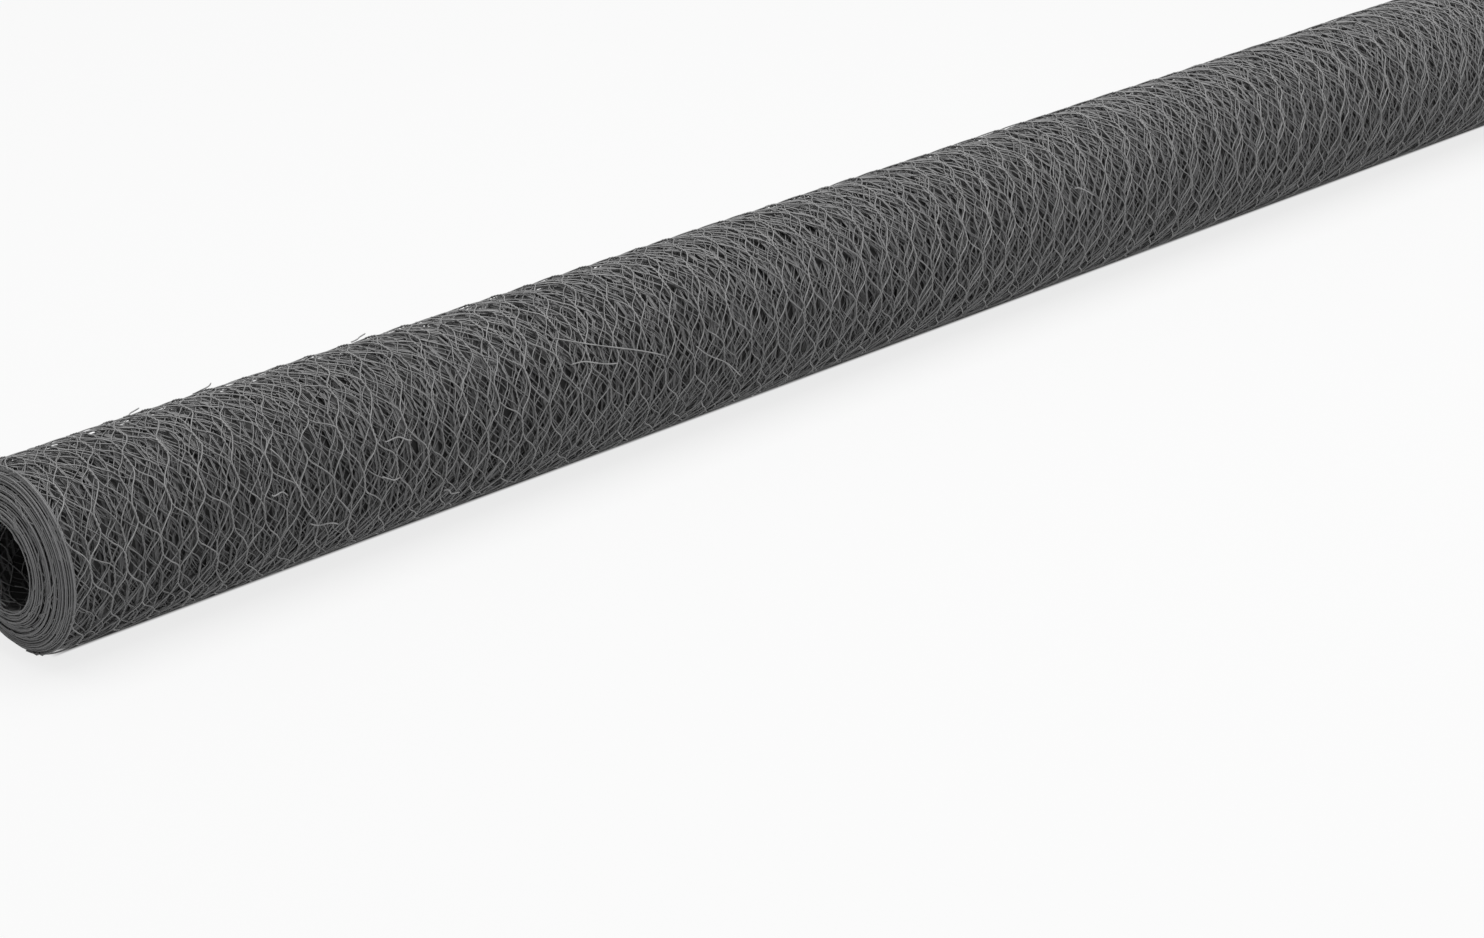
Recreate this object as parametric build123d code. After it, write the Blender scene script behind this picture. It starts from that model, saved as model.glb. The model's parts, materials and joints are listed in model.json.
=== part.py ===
"""Roll of hexagonal wire netting (chicken wire), lying on its side.

One length of netting is wound on itself into a long roll with an open bore. The roll is one
turned solid about its own axis. The two long edges of the netting are selvages, each with one
wire along it, so each turn ends in a raised rim, and the rims of all the turns show as rings on
both ends of the roll.
The turns have slid a little along the axis while they were wound: on the near end (-X) the
inner turns stand out past the outer ones, and on the far end they are set back by as much.

Millimetres. The roll's axis is level along X, the floor is z = 0, and the origin is on the
floor under the middle of the roll.
"""

from build123d import *

import os
from math import pi, sin

# Driving dimensions
netting_width = 1500.0  # selvage to selvage, the length of the roll
netting_length = 10000.0  # what is wound on the roll
body_diameter = 118.5  # over the outermost turn, away from the ends
rim_diameter = 114.0  # over the outermost turn's selvage, which is wound tighter
bore_diameter = 54.0  # the open middle, where a hanging bar goes
shoulder_length = 8.0  # from a rim to the full body diameter
telescope = 12.0  # how far the innermost turn stands out past the outermost one
rim_bulge = 0.4  # height of a selvage's rim over the seams beside it
winding_wander = 0.9  # how far a turn strays from its even place along the axis
wander_waves = 3.5  # half a number of waves keeps the first and last turns in place

# Sizes that follow
body_radius = body_diameter / 2
rim_radius = rim_diameter / 2
bore_radius = bore_diameter / 2
mean_turn = pi * (bore_radius + rim_radius)
turns = max(2, round(netting_length / mean_turn))
turn_pitch = (rim_radius - bore_radius) / turns
half_width = netting_width / 2


def turn_shift(turn):
    """How far a turn, counted from the bore, lies from the roll's middle along the axis."""
    share = turn / (turns - 1)
    wander = winding_wander * sin(2 * pi * wander_waves * share)
    return telescope * (share - 0.5) + wander


def rim_points(end):
    """One end of the profile, from the bore out: each turn's selvage stands up as a rim, and a
    seam lies between it and the next. `end` is -1 for the near end and +1 for the far end."""
    crests = [turn_shift(turn) + end * half_width for turn in range(turns)]
    points = [(crests[0] - end * rim_bulge, bore_radius)]
    for turn, crest in enumerate(crests):
        outer = bore_radius + (turn + 1) * turn_pitch
        next_crest = crests[min(turn + 1, turns - 1)]
        points.append((crest, outer - turn_pitch / 2))
        points.append(((crest + next_crest) / 2 - end * rim_bulge, outer))
    return points


def roll_profile():
    """Half section of the roll: X along the axis, Y the radius. The bore side is straight, and
    the outside rises from each rim to the body on an arc tangent to it."""
    near_rims = rim_points(-1)
    far_rims = rim_points(1)
    near_edge = near_rims[-1]
    far_edge = far_rims[-1]
    near_body = (near_edge[0] + shoulder_length, body_radius)
    far_body = (far_edge[0] - shoulder_length, body_radius)
    outline = [
        Line(near_rims[0], far_rims[0]),
        Polyline(*near_rims),
        TangentArc(near_body, near_edge, tangent=(-1, 0)),
        Line(near_body, far_body),
        TangentArc(far_body, far_edge, tangent=(1, 0)),
        Polyline(*far_rims),
    ]
    return make_face(outline)


def netting_roll():
    """The roll, turned about its axis and laid on the floor."""
    turned = revolve(roll_profile(), axis=Axis.X, revolution_arc=360)
    return Pos(0, 0, body_radius) * turned


def main():
    os.makedirs("parts", exist_ok=True)
    roll = netting_roll()
    export_step(roll, "parts/netting_roll.step")
    bore_length = netting_width - 2 * rim_bulge
    print(f"{turns} turns, {turn_pitch:.3f} mm each, bore {bore_length:.1f} mm long")
    print(f"bore middle at x = {turn_shift(0):.3f} mm, axis {body_radius:.2f} mm up")


main()
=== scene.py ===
# %% [markdown]
# # A roll of chicken wire
#
# The object is one length of hexagonal wire netting, wound on itself into a long roll with an open
# middle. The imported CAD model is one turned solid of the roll's real size. In this lesson that
# solid gives the sizes, and real wires take its place: each wire of the netting is a thin tube that
# follows a formula, first on the flat netting and then round the spiral of the winding. A plain
# cylinder with a pattern of mesh would be far lighter, but the photograph looks through the outer
# layers at the ones below them, and only wires give that depth.

# %% The fixed frame
import json
import math

import bpy
import numpy as np
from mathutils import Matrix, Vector


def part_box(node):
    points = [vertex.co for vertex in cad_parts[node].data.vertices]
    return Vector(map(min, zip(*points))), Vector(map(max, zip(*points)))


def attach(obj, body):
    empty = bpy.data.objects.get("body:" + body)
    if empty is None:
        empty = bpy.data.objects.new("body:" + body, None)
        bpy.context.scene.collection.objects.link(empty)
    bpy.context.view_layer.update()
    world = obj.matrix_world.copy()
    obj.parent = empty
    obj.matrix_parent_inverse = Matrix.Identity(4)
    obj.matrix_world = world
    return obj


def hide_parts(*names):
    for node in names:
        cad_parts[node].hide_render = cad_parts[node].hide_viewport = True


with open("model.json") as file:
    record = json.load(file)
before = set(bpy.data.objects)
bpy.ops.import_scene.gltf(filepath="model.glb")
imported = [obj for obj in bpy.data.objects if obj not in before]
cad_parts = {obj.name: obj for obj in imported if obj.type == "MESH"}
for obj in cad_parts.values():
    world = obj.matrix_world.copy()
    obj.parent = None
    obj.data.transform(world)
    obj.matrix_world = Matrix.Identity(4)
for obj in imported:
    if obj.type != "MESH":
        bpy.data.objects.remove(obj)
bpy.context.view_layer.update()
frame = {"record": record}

# %% [markdown]
# ## Sizes
#
# Blender works in metres. What the CAD model fixes is read from the frame, so the wires fit it
# whatever its size: the box of the node, and the bore that the record states. What only the netting
# has is written here: it is 1.5 m wide, the mesh is 25 mm across, the wire is 0.8 mm over its
# plastic coating, and each pair of wires is twisted together over a bit less than half of each row.
# A tube's corners lie up to `wire_reach` from its path, so paths keep that far inside the box.

# %% Sizes from the frame, and sizes of the netting
mm = 0.001
low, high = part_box("netting_roll")
bore = frame["record"]["mounts"][0]
bore_radius = bore["dims"]["r_mm"] * mm
body_radius = (high.z - low.z) / 2
axis_height = (high.z + low.z) / 2

netting_width = 1500 * mm
mesh_size = 25 * mm
row_length = 27 * mm
twist_length = 12 * mm
wire = 0.8 * mm
selvage_wire = 0.9 * mm
wire_reach = 0.62 * wire
turns = 38

telescope = (high.x - low.x) - netting_width
selvage_reach = wire + selvage_wire / 2
columns = round(netting_width / mesh_size * 2)
column_gap = (netting_width - 2 * selvage_reach) / columns
print(f"{columns} wires, {turns} turns, {netting_width:.3f} m wide")
print(f"telescoped {telescope / mm:.1f} mm")

# %% [markdown]
# ## The camera
#
# The photograph looks down on the roll from its near end, with a long lens. A camera can be placed
# by eye, but a long roll shows every error in its slope. So its place was worked out from the two
# outlines of the roll, which meet far off in the picture, and from the rings of its near end. It is
# kept in units of the roll's radius, so that it follows the roll's size.

# %% Camera
photo_width = 1484
focal_pixels = 4000
camera_along = 19.767
camera_aside = 30.16
camera_above = 16.05
camera_pitch = math.radians(23.11)
camera_turn = math.radians(-44.53)


def make_camera():
    """The camera stands in front of the near end's outer rim, `camera_along` radii before it,
    and looks down by the pitch and along the roll by the turn, with a level horizon."""
    data = bpy.data.cameras.new("camera")
    data.sensor_width = 36
    data.lens = focal_pixels / photo_width * data.sensor_width
    data.clip_end = 100
    camera = bpy.data.objects.new("camera", data)
    near_rim = (telescope - netting_width) / 2
    camera.location = (
        near_rim - camera_along * body_radius,
        -camera_aside * body_radius,
        axis_height + camera_above * body_radius,
    )
    camera.rotation_euler = (math.pi / 2 - camera_pitch, 0, camera_turn)
    bpy.context.scene.collection.objects.link(camera)
    bpy.context.scene.camera = camera
    return camera


camera = make_camera()
print("camera at", [round(x, 3) for x in camera.location], "lens", round(camera.data.lens, 1))

# %% [markdown]
# ## The winding
#
# A wound sheet is a spiral: its radius grows by one layer's thickness in every turn. Two lengths
# describe a point of the flat netting, `across` its width from the middle and `along` its length
# from the inner end. The functions here bend that flat sheet round the spiral. A modifier could
# bend a mesh along a spiral curve, but then every layer would be as even as the next. As formulas
# on whole arrays, every fault of the winding is one short function.
#
# In the photograph the meshes of the outer turns lie almost one over the other in the roll's far
# part, and out of step near its near end. So the turns are skewed: further along the roll, each
# turn is turned further ahead of the one over it. The netting's free end lies under the roll.

# %% The spiral
first_radius = bore_radius + wire
last_radius = body_radius - wire
total_angle = 2 * math.pi * turns
growth = (last_radius - first_radius) / total_angle
end_angle = math.radians(-84)
netting_length = first_radius * total_angle + growth * total_angle**2 / 2
rows = int(netting_length / row_length)
skew_a_turn = 12 * mm
skewed_turns = 6
skew_unevenness = 0.3
skew_rate = 0.4


def angle_of(along):
    """Angle wound after a length of netting. The length is first_radius * angle plus
    growth * angle squared / 2, and this is that equation solved for the angle."""
    return (np.sqrt(first_radius**2 + 2 * growth * along) - first_radius) / growth


def skew_of(across, angle):
    """Angle by which a turn is skewed ahead of its even winding: a length for each turn that lies
    over it, for the outermost turns, with a wave that makes every turn's a little different. It is
    nothing over the sixth nearest the near end and rises to its full size at the roll's middle."""
    turns_over = np.clip((total_angle - angle) / (2 * np.pi), 0, skewed_turns)
    turns_over += skew_unevenness * np.sin(skew_rate * angle)
    share = np.clip(across / netting_width * 3 + 1, 0, 1)
    return skew_a_turn / last_radius * turns_over * share


turn_growth = 2 * math.pi * growth / mm
print(f"{netting_length:.3f} m of netting in {rows} rows, {turn_growth:.2f} mm a turn")

# %% [markdown]
# A roll wound by hand is never even. Each turn has slid a little further along the axis than the
# one inside it, some rims stand out in bands while the next ones lie back, and the layers swell
# over the body. Random numbers could do this, but they would also tear neighbouring points apart.
# Sums of a few sines are smooth, and since most of their rates aren't whole numbers, they don't
# repeat at every turn.

# %% How the turns stray
inner_setback = 4 * mm
setback_turns = 2.3
wander = 0.9 * mm
wander_waves = 3.5

# Waves of the winding, each as its height, its rate over the angle and its start.
slide_waves = ((0.6 * mm, 1 / 3.3, 1.2), (0.45 * mm, 1 / 2.1, 0))
rim_waves = (
    (0.26 * mm, 1 / 3.3, 0),
    (0.14 * mm, 1 / 2.1, 2),
    (0.08 * mm, 1.31, 1),
    (0.06 * mm, 2.73, 2),
)

# Swells of the body, each as its length along the roll, its rate over the angle and its start.
swells = ((61 * mm, 2, 0), (97 * mm, -3.1, 1), (23 * mm, 1.7, 0))
swell_height = 0.16 * mm


def waves_of(angle, waves):
    """Sum of sines over the winding's angle: height times the sine of rate times angle plus
    start, for each of the waves."""
    return sum(height * np.sin(rate * angle + start) for height, rate, start in waves)


def slide_of(angle):
    """How far along the axis the turns have slid at an angle of the winding: an even slide of the
    telescope's length, a slow wander, a small wave every few turns that makes a band of rims
    stand out and the next one lie back, and the first turns set back into the bore."""
    share = angle / total_angle
    slow = wander * np.sin(2 * np.pi * wander_waves * share)
    setback = inner_setback * np.clip(1 - angle / (2 * np.pi * setback_turns), 0, 1) ** 2
    return telescope * (share - 0.5) + slow + waves_of(angle, slide_waves) + setback


def rim_unevenness(angle):
    """How far a rim strays from its even spiral: waves that never fall in step with the turns, so
    that some rims lie bunched together and others stand apart."""
    return waves_of(angle, rim_waves)


def looseness(across, angle):
    """How far the winding bulges or dips off its even spiral: swells that run over the body at a
    slant, as a sum of sines of the place along the roll and the angle."""
    slants = (np.sin(across / length + rate * angle + start) for length, rate, start in swells)
    return swell_height * sum(slants)


slides = slide_of(np.array([0, total_angle])) / mm
print(f"the innermost turn has slid {slides[0]:.1f} mm, the outermost {slides[1]:.1f} mm")

# %% [markdown]
# The last step puts a point of the flat netting in space. Near its long edges the roll is wound
# tighter, so the layers dip towards the rims over a short shoulder. The outer turns, which are
# real wires below, are pressed closer together than the even spiral has them.

# %% From flat to wound
rim_radius = 57 * mm
shoulder_length = 8 * mm
real_turns = 15
real_depth = 6.0 * mm
first_rim = bore_radius + selvage_reach
last_rim = rim_radius - selvage_wire / 2


def sheet_radius(angle, edge):
    """Radius of the sheet at an angle of the winding and a distance from the nearer long edge. The
    radius grows evenly up to the turns that are real wires, and evenly but more slowly over those,
    which are pressed closer together. Over the shoulder it runs to the rim's own spiral, by the
    square of the closeness to the edge."""
    share = angle / total_angle
    packed_share = 1 - real_turns / turns
    radii = [first_radius, last_radius - real_depth, last_radius]
    body = np.interp(share, [0, packed_share, 1], radii)
    rim = first_rim + (last_rim - first_rim) * share + rim_unevenness(angle)
    return body + (rim - body) * np.clip(1 - edge / shoulder_length, 0, 1) ** 2


def wound(across, along, lift):
    """Points of the flat netting bent round the roll. The angle follows from the length, and
    `lift` moves a point off the sheet. Each point keeps a wire's reach inside the model's box."""
    angle = angle_of(along)
    edge = netting_width / 2 - np.abs(across)
    slack = looseness(across, angle) * np.clip(edge / shoulder_length, 0, 1)
    radius = sheet_radius(angle, edge) + slack + lift
    radius = np.clip(radius, bore_radius + wire_reach, body_radius - wire_reach)
    turn = end_angle + angle - total_angle + skew_of(across, angle)
    x = np.clip(across + slide_of(angle), low.x + wire_reach, high.x - wire_reach)
    return np.stack([x, radius * np.cos(turn), axis_height + radius * np.sin(turn)], -1)


free_edge = wound(np.zeros(1), np.array([netting_length]), np.zeros(1))[0]
print("the middle of the free end lies at", np.round(free_edge, 3), "in metres")

# %% [markdown]
# ## The netting, laid flat
#
# Hexagonal netting is made of wires that all run along its length. A wire swings between two
# neighbouring columns: in one row it is twisted with the wire on its left, in the next row with the
# wire on its right. So the whole pattern is one formula of a wire's number and a place along it. A
# tile of one hexagon could be repeated instead, but then every mesh would be alike, and no wire
# would run through from end to end as the real ones do.
#
# Netting is a little uneven, most of all where it was handled. So every twist has a small shift of
# its own, except that those on a selvage can only slip along it, and slow waves pull whole
# stretches of mesh out of line. The waves change from one turn to the next, so no turn hides quite
# behind the one over it.

# %% Unevenness of the mesh
rng = np.random.default_rng(7)
shift_size = np.array([0.6, 0.9, 0.3]) * mm
shift_limit = 2.2
only_along = np.array([0, 1, 0])
node_shift = rng.normal(0, 1, (columns + 1, rows + 2, 3))
node_shift = np.clip(node_shift, -shift_limit, shift_limit) * shift_size
node_shift[[0, columns]] *= only_along

wave_count = 14
shortest_across = 150 * mm
shortest_along = 320 * mm
across_waves = rng.uniform(-1, 1, wave_count) * 2 * np.pi / shortest_across
along_waves = rng.uniform(-1, 1, wave_count) * 2 * np.pi / shortest_along
wave_start = rng.uniform(0, 2 * np.pi, (2, wave_count))
wave_size = (0.25 * mm, 0.4 * mm)


def handled(across):
    """How roughly a part of the width was handled: 1 over the middle fifth, rising to 1.8 over the
    fifth nearest the near end, where the roll was gripped and cut loose, and to 1.4 over the fifth
    at the far end."""
    share = across / netting_width
    near = np.clip(-share * 2 - 0.2, 0, 0.4)
    far = np.clip(share * 2 - 0.2, 0, 0.4)
    return 1 + near * 2 + far


def pulled(across, along):
    """Slow waves of the mesh: the sum of sines over the netting, each with its own length and way,
    as a shift across and a shift along."""
    phase = across[..., None] * across_waves + along[..., None] * along_waves
    rough = handled(across)
    return [
        size * rough * np.sin(phase + start).sum(-1) for size, start in zip(wave_size, wave_start)
    ]


print(f"{node_shift.shape[0]} by {node_shift.shape[1]} twists, shifted up to", end=" ")
print(f"{np.abs(node_shift[..., :2]).max() / mm:.1f} mm")

# %% [markdown]
# Coated netting has no sharp corners: a wire leaves its twist in a bend and has a fine crinkle on
# its slants, so the meshes look round. A twist is two wires that circle one line half a turn
# apart. Two plain rods side by side are enough deep in the roll, but on the outside the twists
# catch the light like little ropes.

# %% One wire's path
twist_share = twist_length / row_length / 2
bend_share = 0.6
crinkle_size = 0.4 * mm
crinkle_rate = 17.3
crinkle_step = 2.4


def rounded(away):
    """Way across the slant for a way along it, both from 0 to 1: a straight line blended with a
    quarter of a cosine, which softens the corner at the twist."""
    return bend_share * (1 - np.cos(np.pi / 2 * away)) + (1 - bend_share) * away


def flat_path(number, place, twist_turns):
    """Path of a wire on the flat netting, as across, along and lift.

    `place` counts rows. In the middle of each row the wire circles the twist's own line, a wire's
    radius off it, for a whole number of turns or none, and outside the twist it bends away to the
    middle between its two columns. An even sum of wire and row puts it in its left column. On the
    first and the last column there is no second wire, and it circles the thicker selvage."""
    row = np.floor(place).astype(int)
    part = place - row - 0.5
    column = number + (number + row) % 2
    side = np.where(column == number, 1, -1)
    sense = np.where(row % 2 == 0, 1, -1)
    turn = 2 * np.pi * twist_turns * np.clip(part / twist_share / 2 + 0.5, 0, 1)
    away = np.clip((np.abs(part) - twist_share) / (0.5 - twist_share), 0, 1)
    circle = np.where((column == 0) | (column == columns), (wire + selvage_wire) / 2, wire / 2)
    crinkle = crinkle_size * np.sin(crinkle_rate * place + crinkle_step * number) * np.sqrt(away)
    swing = side * (circle * np.cos(turn) + (column_gap / 2 - circle) * rounded(away)) + crinkle
    lift = side * sense * circle * np.sin(turn)
    other_row = np.where(part < 0, row - 1, row + 1)
    other_column = number + (number + other_row) % 2
    own = node_shift[column, row + 1] * (1 - away / 2)[..., None]
    shift = own + node_shift[other_column, other_row + 1] * (away / 2)[..., None]
    rough = handled((column - columns / 2) * column_gap)
    across = (column - columns / 2) * column_gap + swing + shift[..., 0] * rough
    along = place * row_length + shift[..., 1] * rough
    pull_across, pull_along = pulled(across, along)
    calm = np.clip((netting_width / 2 - np.abs(across)) / mesh_size, 0, 1)
    return across + pull_across * calm, along + pull_along * calm, lift - np.abs(shift[..., 2])


print(f"twisted over {2 * twist_share:.0%} of each row, columns {column_gap / mm:.2f} mm apart")

# %% [markdown]
# ## From a path to a tube
#
# A wire is a small polygon carried along its path. At each point the path's own direction and the
# direction away from the roll's axis give a square corner, and the polygon is drawn in it. For a
# few wires a bevelled curve is the easy tube. Here there are over a hundred thousand short
# stretches, so the rings of all the wires of a piece are one array, which takes a moment and gives
# each wire just the sides that it needs. The ends get lids, so that every wire is a closed body.

# %% Tubes from whole arrays
def tube_rings(path, radius, sides):
    """Rings of vertices round every point of every path: the point plus the radius times the
    cosine of the corner's angle outwards and its sine sideways. `path` is wires by points by 3.
    The corners lie out far enough for the polygon's mean width to be the round wire's."""
    radius *= math.pi / sides / math.sin(math.pi / sides)
    ahead = np.gradient(path, axis=1)
    ahead /= np.linalg.norm(ahead, axis=-1, keepdims=True)
    outward = path * np.array([0, 1, 1]) - np.array([0, 0, axis_height])
    sideways = np.cross(ahead, outward)
    sideways /= np.linalg.norm(sideways, axis=-1, keepdims=True)
    outward = np.cross(sideways, ahead)
    corner = 2 * np.pi * np.arange(sides)[:, None] / sides
    ring = outward[:, :, None] * np.cos(corner) + sideways[:, :, None] * np.sin(corner)
    return path[:, :, None] + radius * ring


def tube_faces(wires, points, sides):
    """Four-cornered faces between neighbouring rings, and a lid on both ends of each tube, as a
    flat list of corners and the number of corners of each face."""
    first = np.arange(wires * points * sides).reshape(wires, points, sides)
    near, far = first[:, :-1], first[:, 1:]
    quads = np.stack([near, np.roll(near, -1, 2), np.roll(far, -1, 2), far], -1).reshape(-1, 4)
    lids = np.concatenate([first[:, 0, ::-1], first[:, -1]])
    corners = np.concatenate([quads.ravel(), lids.ravel()])
    counts = np.concatenate([np.full(len(quads), 4), np.full(len(lids), sides)])
    return corners, counts


print("a three-sided rod has", len(tube_faces(1, 2, 3)[1]), "faces with its lids")

# %% Pieces from tubes
made = []


def mesh_object(name, vertices, corners, counts):
    """A mesh object at the origin from whole arrays, smooth on its sides, with its triangles
    counted."""
    mesh = bpy.data.meshes.new(name)
    mesh.vertices.add(len(vertices))
    mesh.vertices.foreach_set("co", vertices.astype(np.float32).ravel())
    mesh.loops.add(len(corners))
    mesh.loops.foreach_set("vertex_index", corners.astype(np.int32))
    mesh.polygons.add(len(counts))
    starts = np.concatenate([[0], np.cumsum(counts)[:-1]])
    mesh.polygons.foreach_set("loop_start", starts.astype(np.int32))
    mesh.polygons.foreach_set("use_smooth", np.ones(len(counts), bool))
    mesh.update(calc_edges=True)
    piece = bpy.data.objects.new(name, mesh)
    bpy.context.scene.collection.objects.link(piece)
    triangles = int((counts - 2).sum())
    made.append((piece, triangles))
    print(f"{name}: {triangles} triangles")
    return piece


def wires_piece(name, parts):
    """One piece from several groups of tubes, each given as a path array, a radius and a number
    of sides."""
    vertices, corners, counts = [], [], []
    used = 0
    for path, radius, sides in parts:
        rings = tube_rings(path, radius, sides).reshape(-1, 3)
        part_corners, part_counts = tube_faces(path.shape[0], path.shape[1], sides)
        vertices.append(rings)
        corners.append(part_corners + used)
        counts.append(part_counts)
        used += len(rings)
    return mesh_object(name, *(np.concatenate(x) for x in (vertices, corners, counts)))


# %% [markdown]
# ## The turns
#
# The roll looks dense because the eye looks through many layers of open mesh before it meets
# nothing but dark. So the outer fifteen turns are real wires. With only a few, the roll would look
# like a printed cylinder, and all thirty-eight would take half as many triangles again, for wires
# that nobody can see.
#
# The outermost turn shows whole, so its wires are four-sided, shaded smooth and fully twisted. More
# sides would be rounder, but in the photograph a wire is less than two pixels thick. The two turns
# under it get three-sided wires. Each detail below is the twist's turns, the steps along the twist,
# the stretches of half a row's slant and the sides of the tube.

# %% How finely each turn is made
def row_places(steps, bends):
    """Sample points of one row, as shares of it: even steps along the slant before its twist, even
    steps along the twist, and even steps along the slant after it."""
    slant = np.linspace(0, 0.5 - twist_share, bends + 1)
    twist = 0.5 + np.linspace(-twist_share, twist_share, steps + 1)
    return np.concatenate([slant[:-1], twist, 1 - slant[-2:0:-1]])


def first_row_of(turn):
    """The first row that starts in a turn, counted from the bore."""
    angle = 2 * math.pi * turn
    along = first_radius * angle + growth * angle**2 / 2
    return min(rows, math.ceil(along / row_length))


def netting_part(first_row, last_row, numbers, twist_turns, steps, bends, sides):
    """A group of tubes: some wires of the netting, from one row to another."""
    places = (np.arange(first_row, last_row)[:, None] + row_places(steps, bends)).ravel()
    places = np.append(places, last_row)
    number, place = np.meshgrid(numbers, places, indexing="ij")
    return wound(*flat_path(number, place, twist_turns)), wire / 2, sides


def turn_part(turn, numbers, detail):
    """One turn of some wires."""
    return netting_part(first_row_of(turn), first_row_of(turn + 1), numbers, *detail)


every_wire = np.arange(columns)
finest = (2, 8, 3, 4)
print("points a row in the outermost turn:", len(row_places(*finest[1:3])))

# %% The outermost turn, in two pieces
outer_start = first_row_of(turns - 1)
outer_middle = (outer_start + rows) // 2
wires_piece("outer_turn_a", [netting_part(outer_start, outer_middle, every_wire, *finest)])
wires_piece("outer_turn_b", [netting_part(outer_middle, rows, every_wire, *finest)])

# %% The turns under it, plainer and plainer
under = [(2, 6, 2, 3), (1, 4, 2, 3)]
for depth, detail in enumerate(under, start=2):
    wires_piece(f"turn_{turns + 1 - depth}", [turn_part(turns - depth, every_wire, detail)])

# %% [markdown]
# Deeper turns are only glimpsed between the wires over them. There a wire is a three-sided rod,
# with one straight stretch for the twist and four for the slants, or two in the deepest seven of
# these turns. That keeps the whole roll under a million triangles.

# %% The deep turns
glimpsed = (0, 1, 2, 3)
hidden = (0, 1, 1, 3)
hidden_turns = 7
turns_a_piece = 4
deep_first = turns - real_turns
deep_last = turns - 2 - len(under)
for start in range(deep_first, deep_last + 1, turns_a_piece):
    group = range(start, min(start + turns_a_piece, deep_last + 1))
    details = [hidden if turn < deep_first + hidden_turns else glimpsed for turn in group]
    parts = [turn_part(turn, every_wire, detail) for turn, detail in zip(group, details)]
    wires_piece(f"deep_turns_{group[0] + 1}_{group[-1] + 1}", parts)

# %% [markdown]
# The open end shows the bore, so the two turns that line it are real wires too. Between the rims of
# the ends the eye meets the two outer wires of each side, so these are real on all the turns
# between. A painted ring could stand for both, but at such a slant it would look flat.

# %% The two innermost turns, which line the bore
lining = (1, 2, 2, 3)
lining_turns = 2
for turn in range(lining_turns):
    wires_piece(f"turn_{turn + 1:02d}", [turn_part(turn, every_wire, lining)])

# %% The edges of the turns between
edging = (1, 4, 1, 3)
edge_wires = np.array([0, 1, columns - 2, columns - 1])
edge_rows = first_row_of(lining_turns), first_row_of(deep_first)
wires_piece("edge_cells", [netting_part(*edge_rows, edge_wires, *edging)])

# %% [markdown]
# ## The selvages
#
# One thicker wire runs along each long edge, and the mesh's last wires are wound round it. On the
# ends of the roll these selvages are what shows: ring lies beside ring. They could be a stack of
# separate rings, but a wound sheet has one spiral, so each selvage is one wire from the bore to
# the outside, bent by the same function as the mesh.

# %% Selvages
selvage_steps = 6
selvage_sides = 5


def selvage_part(side):
    """The wire along one edge of the netting: a straight line on the flat netting, with some steps
    a row, which the winding turns into a spiral of rings."""
    along = np.linspace(0, rows * row_length, rows * selvage_steps + 1)[None]
    across = side * (netting_width / 2 - selvage_reach) + 0 * along
    return wound(across, along, 0 * along), selvage_wire / 2, selvage_sides


wires_piece("selvage_near", [selvage_part(-1)])
wires_piece("selvage_far", [selvage_part(1)])

# %% [markdown]
# ## The packed turns
#
# Between the deep turns and the ones that line the bore, more layers of netting lie than the eye
# can part. Left out, they would let light and the eye pass through the roll. Here they are one
# closed ring of a surface, whose ends slant with the telescoped turns just behind their selvages,
# and the mesh of its layers is left to its material.

# %% Packed turns
def turned_body(name, section, around):
    """A closed section of (along, radius) points, carried round the axis."""
    turn = 2 * np.pi * np.arange(around)[:, None] / around
    along, radius = section.T
    heights = axis_height + radius * np.sin(turn)
    rings = np.stack([along + 0 * turn, radius * np.cos(turn), heights], -1)
    first = np.arange(around * len(section)).reshape(around, len(section))
    after = np.roll(first, -1, 0)
    quads = np.stack([first, after, np.roll(after, -1, 1), np.roll(first, -1, 1)], -1)
    return mesh_object(name, rings.reshape(-1, 3), quads.ravel(), np.full(quads.size // 4, 4))


packed_depth = 5 * mm
packed_gap = 0.4
packed_turns = (lining_turns + packed_gap, deep_first - packed_gap)
packed_around = 160


def packed_side(turn, depths, side):
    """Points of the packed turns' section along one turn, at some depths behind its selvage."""
    angle = 2 * np.pi * turn
    x = side * (netting_width / 2 - depths) + slide_of(angle)
    return np.stack([x, sheet_radius(angle, depths)], -1)


shoulder_depths = np.array([packed_depth, shoulder_length])
packed_section = np.concatenate(
    [
        packed_side(packed_turns[0], shoulder_depths, -1),
        packed_side(packed_turns[0], shoulder_depths[::-1], 1),
        packed_side(packed_turns[1], shoulder_depths, 1),
        packed_side(packed_turns[1], shoulder_depths[::-1], -1),
    ]
)
packed = turned_body("packed_turns", packed_section, packed_around)

# %% [markdown]
# ## Loose wires and cut ends
#
# Netting is cut by hand, so a few wires came loose. Some lie flat over the mesh, and some are
# stubs that stand off it by up to three millimetres. They could be scattered by chance, but placed
# ones can be held against the photograph, which most of them follow. The fringe stands for the
# pale specks along the roll's upper edge in it, and one more stub is on the side that it doesn't
# show. Each wire is given by its two ends, as millimetres along the roll from its middle and
# degrees round it, and by how many millimetres its second end stands off.

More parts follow.
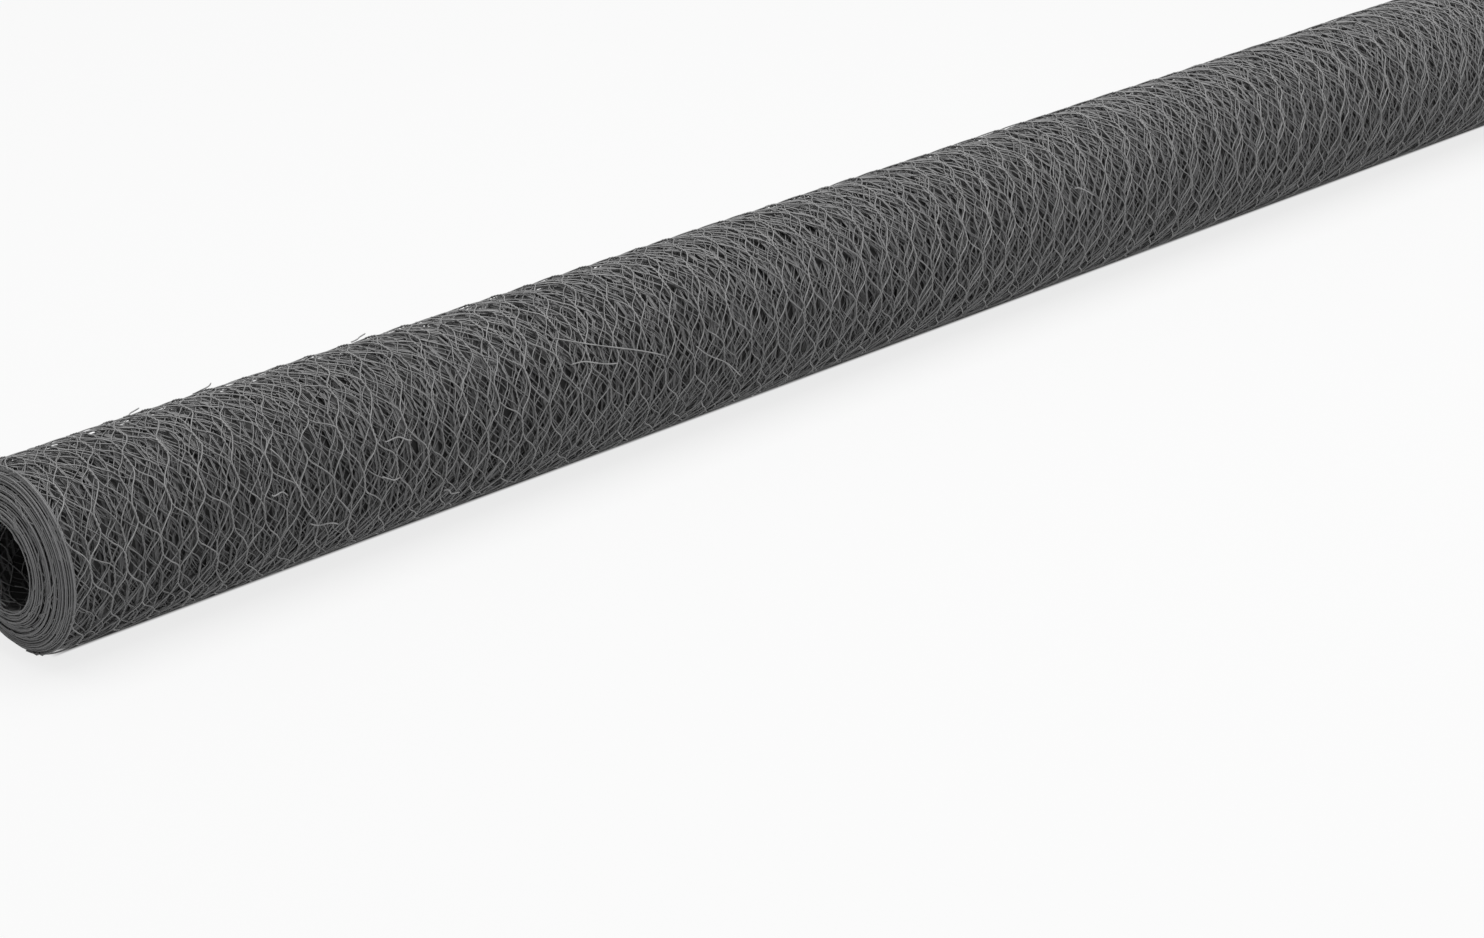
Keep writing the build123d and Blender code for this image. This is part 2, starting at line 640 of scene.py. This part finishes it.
# %% Loose wires
loose_wires = {
    "long_over_mesh": (-360, 133, -283, 166, 0.0),
    "steep_over_mesh": (-591, 140, -575, 180, 0.0),
    "slanting_low": (-255, 166, -213, 198, 0.4),
    "level_middle": (-358, 151, -324, 159, 1.2),
    "stub_near_top": (-512, 157, -495, 161, 2.5),
    "stub_near_middle": (-519, 179, -505, 183, 0.0),
    "stub_near_end": (-601, 165, -590, 168, 1.5),
    "stub_low": (-573, 192, -553, 199, 0.8),
    "stub_lower": (-466, 205, -455, 209, 2.0),
    "stub_far": (120, 150, 134, 158, 2.0),
    "stub_back": (-180, 40, -163, 33, 3.0),
    "fringe_near": (-648, 70, -634, 65, 1.8),
    "fringe_mid": (-590, 60, -580, 67, 2.4),
    "fringe_far": (-474, 68, -458, 62, 2.0),
}
loose_points = 14
loose_sides = 6
loose_wave = 0.6
loose_wave_rate = 9
loose_curl = 1.1
loose_curl_rate = 6
stub_tip = 0.6 * mm


def loose_path(start, start_round, stop, stop_round, stand_off):
    """A loose wire from one place on the roll to another: along it with a small wave in
    millimetres, round it with one in degrees, and off it by the square of the way gone. It never
    leaves the roll's own box."""
    way = np.linspace(0, 1, loose_points)
    wave = loose_wave * np.sin(way * loose_wave_rate + start)
    curl = loose_curl * np.sin(way * loose_curl_rate + stop)
    x = (start + (stop - start) * way + wave) * mm
    turn = np.radians(start_round + (stop_round - start_round) * way + curl)
    radius = body_radius - wire_reach + stand_off * mm * way**2
    y = np.clip(radius * np.cos(turn), wire_reach - body_radius, body_radius - wire_reach)
    z = np.clip(axis_height + radius * np.sin(turn), wire, high.z - wire_reach)
    return np.stack([x, y, z], -1)


loose_paths = np.stack([loose_path(*place) for place in loose_wires.values()])
wires_piece("loose_wires", [(loose_paths, wire / 2, loose_sides)])

# %% [markdown]
# Where a wire is cut, bare steel shows inside the coating. The whole free end of the netting is cut
# like that, and so is each loose wire. A short thinner rod that runs on from the coated wire is all
# it takes, and as a piece of its own it can have its own metal.

# %% Cut ends
steel_radius = 0.3 * mm
steel_sides = 5
cut_places = rows + np.array([0, 0.03])
number, place = np.meshgrid(every_wire, cut_places, indexing="ij")
free_end = wound(*flat_path(number, place, finest[0]))
stub_way = loose_paths[:, -1] - loose_paths[:, -2]
stub_way /= np.linalg.norm(stub_way, axis=-1, keepdims=True)
stub_end = np.stack([loose_paths[:, -1], loose_paths[:, -1] + stub_tip * stub_way], 1)
stub_end[..., 1] = np.clip(stub_end[..., 1], wire_reach - body_radius, body_radius - wire_reach)
cut_parts = [(path, steel_radius, steel_sides) for path in (free_end, stub_end)]
cut_ends = wires_piece("cut_ends", cut_parts)
print("triangles in all:", sum(count for _, count in made))

# %% [markdown]
# ## Building blocks for the materials
#
# The finishes share a few effects. Each is a node group with named sockets, made once and placed in
# a material with its own values. Nodes can be wired one by one, but that takes three lines for each
# sum, so a few small helpers keep the wiring short to read.

# %% Helpers for nodes
def node_group(name, inputs, outputs):
    """A shader node group with named sockets: a kind and a value for each input, and a kind for
    each output. Gives back the group's tree, what it is given and what it gives out."""
    tree = bpy.data.node_groups.new(name, "ShaderNodeTree")
    for label, (kind, value) in inputs.items():
        socket = tree.interface.new_socket(name=label, in_out="INPUT", socket_type=kind)
        socket.default_value = value
    for label, kind in outputs.items():
        tree.interface.new_socket(name=label, in_out="OUTPUT", socket_type=kind)
    print(f"group {name}: {', '.join(inputs)} to {', '.join(outputs)}")
    return tree, tree.nodes.new("NodeGroupInput").outputs, tree.nodes.new("NodeGroupOutput").inputs


def fill(tree, node, values):
    """Gives a node its inputs: a number, colour or vector is written, and a socket is linked."""
    for label, value in values.items():
        if isinstance(value, bpy.types.NodeSocket):
            tree.links.new(value, node.inputs[label])
        else:
            node.inputs[label].default_value = value
    return node


def add(tree, kind, **values):
    """A new node of a kind, with its inputs filled by name."""
    return fill(tree, tree.nodes.new(kind), values)


def calc(tree, operation, *values):
    """The result of a Math node on one, two or three values."""
    node = tree.nodes.new("ShaderNodeMath")
    node.operation = operation
    return fill(tree, node, dict(enumerate(values))).outputs["Value"]


def blend(tree, share, first, second):
    """A colour between two others."""
    node = tree.nodes.new("ShaderNodeMix")
    node.data_type = "RGBA"
    return fill(tree, node, {0: share, 6: first, 7: second}).outputs[2]


def ramp(tree, value, start, stop, low_value, high_value):
    """A value carried from one range to another and held at its ends."""
    node = tree.nodes.new("ShaderNodeMapRange")
    source = {"Value": value, "From Min": start, "From Max": stop}
    target = {"To Min": low_value, "To Max": high_value}
    return fill(tree, node, source | target).outputs["Result"]


def place_group(tree, group, **values):
    """The outputs of a group placed in a tree. Spaces in a socket's name are written as _."""
    node = tree.nodes.new("ShaderNodeGroup")
    node.node_tree = group
    spaced = {label.replace("_", " "): value for label, value in values.items()}
    return fill(tree, node, spaced).outputs


FLOAT, VECTOR, COLOUR = "NodeSocketFloat", "NodeSocketVector", "NodeSocketColor"
helpers = (node_group, fill, add, calc, blend, ramp, place_group)
print("helpers:", *(helper.__name__ for helper in helpers))

# %% [markdown]
# The first group turns a place in space into a place on the roll: meshes along it, rows round it
# and the distance from its axis. A pattern laid out in plain object coordinates would run straight
# through the roll instead of round it. The number of rows is even, so the staggered mesh closes on
# itself.

# %% Group: place on the roll
def make_roll_place():
    """Place on the roll: x over the mesh, the angle round the axis over a full turn times the rows,
    and the root of the squares of y and height as the radius."""
    inputs = {"Place": (VECTOR, (0, 0, 0)), "Rows Round": (FLOAT, 12)}
    tree, given, out = node_group("roll_place", inputs, {"Net Place": VECTOR, "Radius": FLOAT})
    parts = add(tree, "ShaderNodeSeparateXYZ", Vector=given["Place"]).outputs
    height = calc(tree, "SUBTRACT", parts["Z"], axis_height)
    turn = calc(tree, "ARCTAN2", height, parts["Y"])
    around = calc(tree, "MULTIPLY", calc(tree, "DIVIDE", turn, 2 * math.pi), given["Rows Round"])
    net = add(tree, "ShaderNodeCombineXYZ", X=calc(tree, "DIVIDE", parts["X"], mesh_size), Y=around)
    squares = calc(tree, "ADD", calc(tree, "POWER", height, 2), calc(tree, "POWER", parts["Y"], 2))
    tree.links.new(net.outputs["Vector"], out["Net Place"])
    tree.links.new(calc(tree, "SQRT", squares), out["Radius"])
    return tree


roll_place = make_roll_place()

# %% [markdown]
# A painted layer of netting stands in for wires that are too deep to be told apart. It could be an
# image of mesh, but a formula needs no file, stays sharp and follows the size of the real mesh.

# %% Group: one layer of netting, painted
def make_net_layer():
    """One layer of hexagonal netting as a mask. Each row's columns are half a mesh off the row
    before. The wire's line lies on its column in the twist and bends a quarter mesh off it towards
    the row's ends. The mask is 1 within about the wire's width of that line, and the width grows in
    the twist, where two wires lie."""
    origin = (VECTOR, (0, 0, 0))
    inputs = {"Net Place": origin, "Shift": origin, "Width": (FLOAT, 0.02)}
    tree, given, out = node_group("net_layer", inputs, {"Wire": FLOAT})
    moved = tree.nodes.new("ShaderNodeVectorMath")
    fill(tree, moved, {0: given["Net Place"], 1: given["Shift"]})
    parts = add(tree, "ShaderNodeSeparateXYZ", Vector=moved.outputs["Vector"]).outputs
    row = calc(tree, "FLOOR", parts["Y"])
    part = calc(tree, "ABSOLUTE", calc(tree, "SUBTRACT", calc(tree, "FRACT", parts["Y"]), 0.5))
    away = ramp(tree, part, twist_share, 0.5, 0, 1)
    staggered = calc(tree, "FRACT", calc(tree, "MULTIPLY_ADD", row, 0.5, parts["X"]))
    column = calc(tree, "ABSOLUTE", calc(tree, "SUBTRACT", staggered, 0.5))
    quarter = calc(tree, "MULTIPLY", away, math.pi / 2)
    fall = calc(tree, "SUBTRACT", 1, calc(tree, "COSINE", quarter))
    bend = calc(tree, "MULTIPLY_ADD", calc(tree, "SUBTRACT", fall, away), bend_share, away)
    off_line = calc(tree, "ABSOLUTE", calc(tree, "MULTIPLY_ADD", bend, -0.25, column))
    width = calc(tree, "MULTIPLY", given["Width"], ramp(tree, away, 0, 0.1, 2, 1.2))
    edge = calc(tree, "DIVIDE", off_line, width)
    tree.links.new(ramp(tree, edge, 1.3, 0.6, 0, 1), out["Wire"])
    return tree


net_layer = make_net_layer()

# %% [markdown]
# No coating has one even grey: some stretches of a roll are paler than others, and so is one wire
# beside the next. One noise can't do both, so two of very different size are added up.

# %% Group: drift of a colour
def make_tone_drift():
    """A colour times a factor that drifts: a slow noise over hands' breadths and a fine one from
    wire to wire."""
    inputs = {
        "Place": (VECTOR, (0, 0, 0)),
        "Colour": (COLOUR, (0.2, 0.2, 0.2, 1)),
        "Drift": (FLOAT, 0.15),
    }
    tree, given, out = node_group("tone_drift", inputs, {"Colour": COLOUR})
    slow = add(tree, "ShaderNodeTexNoise", Vector=given["Place"], Scale=14, Detail=2)
    fine = add(tree, "ShaderNodeTexNoise", Vector=given["Place"], Scale=160, Detail=3)
    both = calc(tree, "ADD", slow.outputs["Fac"], fine.outputs["Fac"])
    doubled = calc(tree, "MULTIPLY", given["Drift"], 2)
    factor = calc(tree, "MULTIPLY_ADD", calc(tree, "SUBTRACT", both, 1), doubled, 1)
    node = tree.nodes.new("ShaderNodeVectorMath")
    node.operation = "SCALE"
    fill(tree, node, {0: given["Colour"], "Scale": factor})
    tree.links.new(node.outputs["Vector"], out["Colour"])
    return tree


tone_drift = make_tone_drift()

# %% [markdown]
# Rubbing wears what stands out most, and the outermost wires also get the most light, so their
# paler grey is partly rubbed coating and partly painted light. Shaders often find raised edges by
# their pointiness, but a thin wire is all edge. The distance from the roll's axis tells better
# which wires were touched.

# %% Group: wear and painted light
def make_rub_wear_and_light():
    """Where the coating is rubbed, and where light is painted on as a paler grey: on what lies
    furthest from the axis, from `Depth` under the outside outwards, broken up by a noise."""
    inputs = {"Place": (VECTOR, (0, 0, 0)), "Radius": (FLOAT, 0.05), "Depth": (FLOAT, 0.002)}
    tree, given, out = node_group("rub_wear_and_light", inputs, {"Worn_And_Lit": FLOAT})
    inside = calc(tree, "SUBTRACT", body_radius, given["Radius"])
    outer = ramp(tree, calc(tree, "DIVIDE", inside, given["Depth"]), 1, 0, 0, 1)
    patches = add(tree, "ShaderNodeTexNoise", Vector=given["Place"], Scale=70, Detail=4)
    broken = ramp(tree, patches.outputs["Fac"], 0.35, 0.6, 0.35, 1)
    tree.links.new(calc(tree, "MULTIPLY", outer, broken), out["Worn_And_Lit"])
    return tree


rub_wear_and_light = make_rub_wear_and_light()

# %% [markdown]
# Dust settles from above and stays where a surface faces up, and the light from above falls there
# too, so that pale grey is partly dust and partly painted top light. The direction of the surface
# finds those places by itself, and a noise breaks them into patches, as handling does.

# %% Group: dust and painted top light
def make_settled_dust_and_top_light():
    """Dust and painted top light lie where a surface faces up, in patches: the upward part of the
    normal times a noise."""
    inputs = {"Place": (VECTOR, (0, 0, 0)), "Amount": (FLOAT, 0.3)}
    tree, given, out = node_group("settled_dust_and_top_light", inputs, {"Dust_And_Top_Light": FLOAT})
    normal = tree.nodes.new("ShaderNodeNewGeometry").outputs["Normal"]
    parts = add(tree, "ShaderNodeSeparateXYZ", Vector=normal).outputs
    upward = ramp(tree, parts["Z"], 0.1, 0.9, 0, 1)
    patches = add(tree, "ShaderNodeTexNoise", Vector=given["Place"], Scale=45, Detail=5)
    lying_and_lit = calc(tree, "MULTIPLY", upward, ramp(tree, patches.outputs["Fac"], 0.4, 0.65, 0.2, 1))
    tree.links.new(calc(tree, "MULTIPLY", lying_and_lit, given["Amount"]), out["Dust_And_Top_Light"])
    return tree


settled_dust_and_top_light = make_settled_dust_and_top_light()

# %% [markdown]
# A plastic coating is never quite smooth. Its grains are far too small for real shape, so they are
# a height for the bump of the material, which only bends the light.

# %% Group: skin of the coating
def make_coating_skin():
    """The coating's fine relief: small grains, and slower waves where it ran while it was soft."""
    inputs = {"Place": (VECTOR, (0, 0, 0))}
    tree, given, out = node_group("coating_skin", inputs, {"Height": FLOAT})
    grain = add(tree, "ShaderNodeTexNoise", Vector=given["Place"], Scale=2600, Detail=2)
    runs = add(tree, "ShaderNodeTexNoise", Vector=given["Place"], Scale=420, Detail=1)
    mixed = calc(tree, "MULTIPLY_ADD", runs.outputs["Fac"], 2, grain.outputs["Fac"])
    tree.links.new(mixed, out["Height"])
    return tree


coating_skin = make_coating_skin()

# %% [markdown]
# ## The materials
#
# The wire is steel in a dark grey plastic coating, half matt. On the outermost wires it is paler,
# partly rubbed and partly painted light, and what faces up is paler too, partly dust and partly
# painted top light. One material serves all the wires, because each group finds out by itself where
# it applies.

# %% Coated wire
coating_grey = (0.175, 0.175, 0.177, 1)
# Painted light: this paler grey is rubbed coating and also the extra light on the outermost wires.
worn_and_lit_grey = (0.32, 0.32, 0.32, 1)
# Painted top light: this pale grey is dust and also the light on what faces up.
dust_and_top_light_grey = (0.36, 0.355, 0.345, 1)
# How far under the outside the rubbed and painted-light grey reaches.
rub_and_light_depth = 2.4 * mm


def new_material(name):
    """A material with its tree, its shader and the object's own coordinates."""
    material = bpy.data.materials.new(name)
    material.use_nodes = True
    tree = material.node_tree
    place = tree.nodes.new("ShaderNodeTexCoord").outputs["Object"]
    print("material", name)
    return material, tree, tree.nodes["Principled BSDF"], place


def bump(tree, shader, height, distance, strength):
    """Feeds a height to the shader's normal through a Bump node."""
    node = add(tree, "ShaderNodeBump", Height=height, Distance=distance, Strength=strength)
    tree.links.new(node.outputs["Normal"], shader.inputs["Normal"])


def make_coated_wire():
    """Drifting grey, then a paler grey on the outermost wires for wear and painted light, then a
    pale grey on what faces up for dust and painted top light, and a roughness that falls where the
    coating is polished by rubbing and rises under dust."""
    material, tree, shader, place = new_material("coated_wire")
    spot = place_group(tree, roll_place, Place=place)
    grey = place_group(tree, tone_drift, Place=place, Colour=coating_grey, Drift=0.22)["Colour"]
    worn_and_lit = place_group(tree, rub_wear_and_light, Place=place, Radius=spot["Radius"], Depth=rub_and_light_depth)["Worn_And_Lit"]
    dust_and_top_light = place_group(tree, settled_dust_and_top_light, Place=place, Amount=0.25)["Dust_And_Top_Light"]
    # Painted light and wear: the outermost wires are made paler.
    rubbed_and_lit = blend(tree, worn_and_lit, grey, worn_and_lit_grey)
    # Painted top light and dust: what faces up is made paler.
    tree.links.new(blend(tree, dust_and_top_light, rubbed_and_lit, dust_and_top_light_grey), shader.inputs["Base Color"])
    polished = ramp(tree, worn_and_lit, 0, 1, 0.55, 0.42)
    tree.links.new(calc(tree, "MULTIPLY_ADD", dust_and_top_light, 0.5, polished), shader.inputs["Roughness"])
    bump(tree, shader, place_group(tree, coating_skin, Place=place)["Height"], 0.04 * mm, 0.5)
    return material


coated_wire = make_coated_wire()

# %% [markdown]
# The packed turns carry five painted layers of the same netting. Each lies in the shade of those
# over it, so painted shade makes it darker than they are, and between the wires of the lowest lies
# a near-black painted shade. One layer alone would look like a printed sheet, and real wires here
# would hardly be seen.

# %% Packed mesh
layer_shifts = [(0.00, 0.00), (0.11, 0.62), (0.23, 0.24), (0.34, 0.85), (0.47, 0.47)]
shade_per_layer = 0.8
drop_per_layer = 0.15
painted_width = wire / mesh_size * 0.62
pull_size = 0.3
# Painted shade: the near-black between the wires of the lowest painted layer.
gap_shade = (0.012, 0.012, 0.012, 1)


def make_packed_mesh():
    """From the lowest layer to the top one, each layer's grey, darkened by painted shade, is laid
    over the rest where its mask is 1, and under them all lies a near-black painted shade. A slow
    noise pulls the pattern out of line, as it is on the real wires."""
    material, tree, shader, place = new_material("packed_mesh")
    spot = place_group(tree, roll_place, Place=place)
    pull = add(tree, "ShaderNodeTexNoise", Vector=place, Scale=16, Detail=2)
    pulled_place = tree.nodes.new("ShaderNodeVectorMath")
    pulled_place.operation = "MULTIPLY_ADD"
    pull_sizes = (pull_size, pull_size, 0)
    fill(tree, pulled_place, {0: pull.outputs["Color"], 1: pull_sizes, 2: spot["Net Place"]})
    colour, height = gap_shade, 0.0
    for depth in reversed(range(len(layer_shifts))):
        shade = shade_per_layer ** (depth + 1)
        shaded = [part * shade for part in coating_grey[:3]] + [1]
        grey = place_group(tree, tone_drift, Place=place, Colour=shaded, Drift=0.3)["Colour"]
        wires = place_group(
            tree,
            net_layer,
            Net_Place=pulled_place.outputs["Vector"],
            Shift=(*layer_shifts[depth], 0),
            Width=painted_width,
        )["Wire"]
        colour = blend(tree, wires, colour, grey)
        raised = calc(tree, "MULTIPLY", wires, 1 - drop_per_layer * depth)
        height = calc(tree, "MAXIMUM", height, raised)
    tree.links.new(colour, shader.inputs["Base Color"])
    shader.inputs["Roughness"].default_value = 0.7
    bump(tree, shader, height, 0.6 * mm, 0.8)
    return material


packed_mesh = make_packed_mesh()

# %% [markdown]
# A nipped wire shows a bright spot of steel, and some of them have begun to rust. One noise gives
# both the brown and the loss of shine, since rust isn't metallic.

# %% Cut steel
bright_steel = (0.5, 0.5, 0.51, 1)
rust_brown = (0.16, 0.09, 0.05, 1)


def make_cut_steel():
    """Bare steel inside the coating, bright where it was nipped and brown where it has begun to
    rust."""
    material, tree, shader, place = new_material("cut_steel")
    rust = add(tree, "ShaderNodeTexNoise", Vector=place, Scale=300, Detail=3)
    share = ramp(tree, rust.outputs["Fac"], 0.45, 0.7, 0, 0.6)
    colour = blend(tree, share, bright_steel, rust_brown)
    tree.links.new(colour, shader.inputs["Base Color"])
    tree.links.new(ramp(tree, share, 0, 0.6, 1, 0.2), shader.inputs["Metallic"])
    shader.inputs["Roughness"].default_value = 0.4
    return material


cut_steel = make_cut_steel()

# %% [markdown]
# ## Into the frame
#
# The roll is one body. Every piece stands for the one node of the CAD model, gets its material and
# hangs from the body, and the node itself is hidden.

# %% Placing the pieces in the frame
own_materials = {packed: packed_mesh, cut_ends: cut_steel}
for piece, _ in made:
    piece.data.materials.append(own_materials.get(piece, coated_wire))
    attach(piece, "root")
    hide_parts("netting_roll")
print(len(made), "pieces placed")

# %% [markdown]
# ## Floor and light
#
# The photograph is cut out on pure white. Turning up the light until the floor goes white would
# wash out the roll too. So the camera sees the floor mostly as plain white, with a light shadow of
# the roll, while the roll is lit by it as by any pale floor.

# %% Floor
floor_half = 8
floor_grey = (0.65, 0.65, 0.65, 1)
white = (1, 1, 1, 1)
shadow_share = 0.2
covered = 15 * mm


def make_floor():
    """A square of floor, pale and matt. To the camera and to mirrorings it is plain white for the
    most part and lit floor for a share of it, so that the shadow stays but is light. Under the
    roll itself, where only gaps between the wires show it, it is all lit floor, which is dark."""
    corners = [(x * floor_half, y * floor_half, 0) for x, y in ((-1, -1), (1, -1), (1, 1), (-1, 1))]
    mesh = bpy.data.meshes.new("floor")
    mesh.from_pydata(corners, [], [(0, 1, 2, 3)])
    floor = bpy.data.objects.new("floor", mesh)
    material = bpy.data.materials.new("pale_floor")
    material.use_nodes = True
    tree = material.node_tree
    shader = tree.nodes["Principled BSDF"]
    fill(tree, shader, {"Base Color": floor_grey, "Roughness": 0.9})
    plain = add(tree, "ShaderNodeEmission", Color=white, Strength=1.0)
    rays = tree.nodes.new("ShaderNodeLightPath").outputs
    seen = calc(tree, "MAXIMUM", rays["Is Camera Ray"], rays["Is Glossy Ray"])
    seen = calc(tree, "MAXIMUM", seen, rays["Is Transmission Ray"])
    place = tree.nodes.new("ShaderNodeTexCoord").outputs["Object"]
    parts = add(tree, "ShaderNodeSeparateXYZ", Vector=place).outputs
    aside = ramp(tree, calc(tree, "ABSOLUTE", parts["Y"]), covered, covered * 1.2, 0, 1)
    end = netting_width / 2 - covered
    beyond = ramp(tree, calc(tree, "ABSOLUTE", parts["X"]), end - covered, end, 0, 1)
    open_floor = calc(tree, "MAXIMUM", aside, beyond)
    plainly_seen = calc(tree, "MULTIPLY", seen, open_floor)
    share = calc(tree, "MULTIPLY", plainly_seen, 1 - shadow_share)
    mix = tree.nodes.new("ShaderNodeMixShader")
    fill(tree, mix, {0: share, 1: shader.outputs["BSDF"], 2: plain.outputs["Emission"]})
    tree.links.new(mix.outputs["Shader"], tree.nodes["Material Output"].inputs["Surface"])
    mesh.materials.append(material)
    bpy.context.scene.collection.objects.link(floor)
    print(f"floor of {2 * floor_half} m, {1 - shadow_share:.0%} plain white to the camera")
    return floor


make_floor()

# %% [markdown]
# The light in the photograph comes from above and is soft: the top of the roll is palest, and no
# wire throws a hard line. One large area light and an even world give that. Several small lamps
# would draw a row of shine on every wire.

# %% Light
def area_light(name, place, aim, size, power):
    """A square soft light at a place, facing a point."""
    data = bpy.data.lights.new(name, "AREA")
    data.size = size
    data.energy = power
    light = bpy.data.objects.new(name, data)
    light.location = place
    light.rotation_euler = (Vector(aim) - Vector(place)).to_track_quat("-Z", "Y").to_euler()
    bpy.context.scene.collection.objects.link(light)
    return light


area_light("top_light", place=(0, -0.3, 3), aim=(0, 0, 0), size=3, power=105)
world = bpy.data.worlds.new("studio")
world.use_nodes = True
background = world.node_tree.nodes["Background"]
fill(world.node_tree, background, {"Color": white, "Strength": 0.42})
bpy.context.scene.world = world
bpy.context.scene.view_settings.view_transform = "Standard"
print("lights:", [item.name for item in bpy.data.lights], "and the world")
